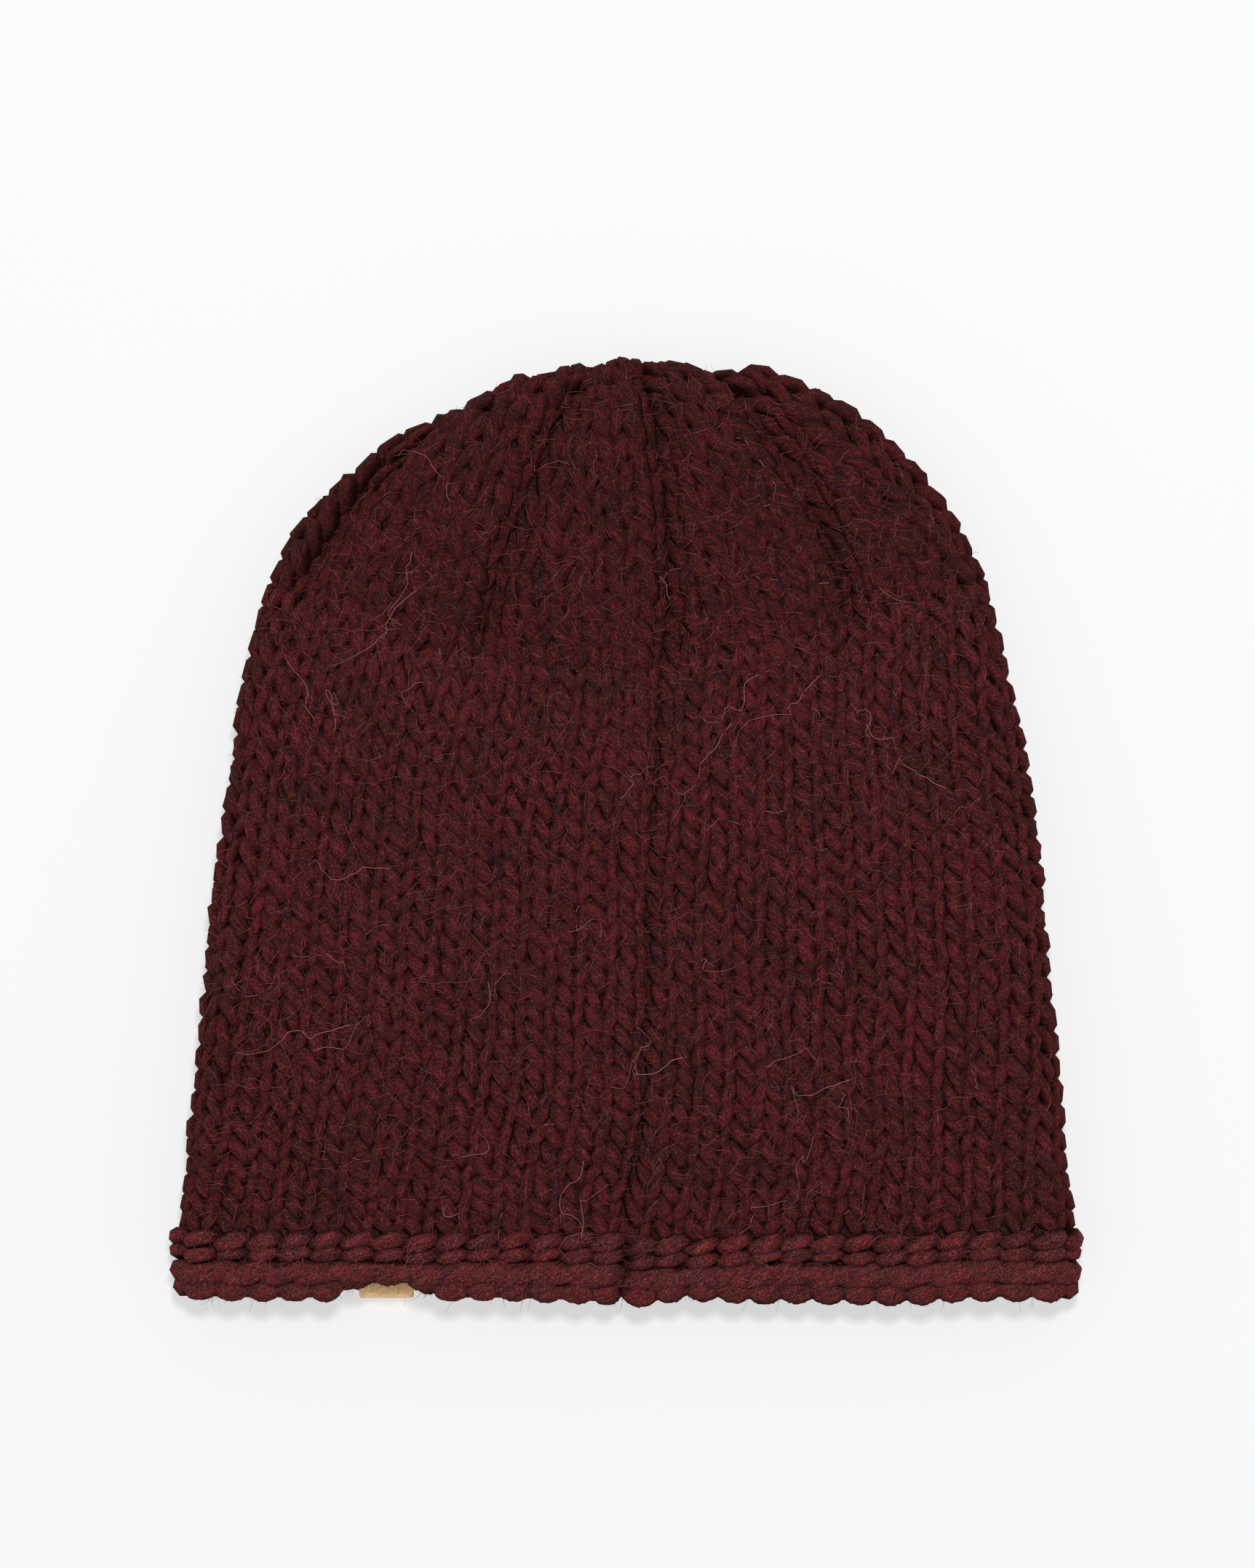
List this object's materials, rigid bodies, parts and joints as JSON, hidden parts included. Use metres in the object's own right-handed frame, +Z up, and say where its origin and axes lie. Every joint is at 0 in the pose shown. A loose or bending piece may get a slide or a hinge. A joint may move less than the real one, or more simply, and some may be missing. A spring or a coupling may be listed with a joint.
{
  "type": "beanie",
  "caption": "Chunky hand-knitted wool beanie lying flat, back seam up: a hollow sac of knit gathered at the crown, with a ridged and rolled edge band and a small tan tab over its edge.",
  "frame": {"origin": "middle of the hat's width and length, on the surface it lies on", "axes": "+X across the hat, +Y from the brim to the crown, +Z up out of the side with the back seam"},
  "size_m": [0.2456, 0.2567, 0.0276],
  "materials": {
    "wool": "matt heathered wool",
    "brim_wool": "matt heathered wool",
    "suede": "matt suede"
  },
  "bodies": {
    "root": {"crown": "wool", "brim": "brim_wool", "label": "suede"}
  },
  "joints": []
}
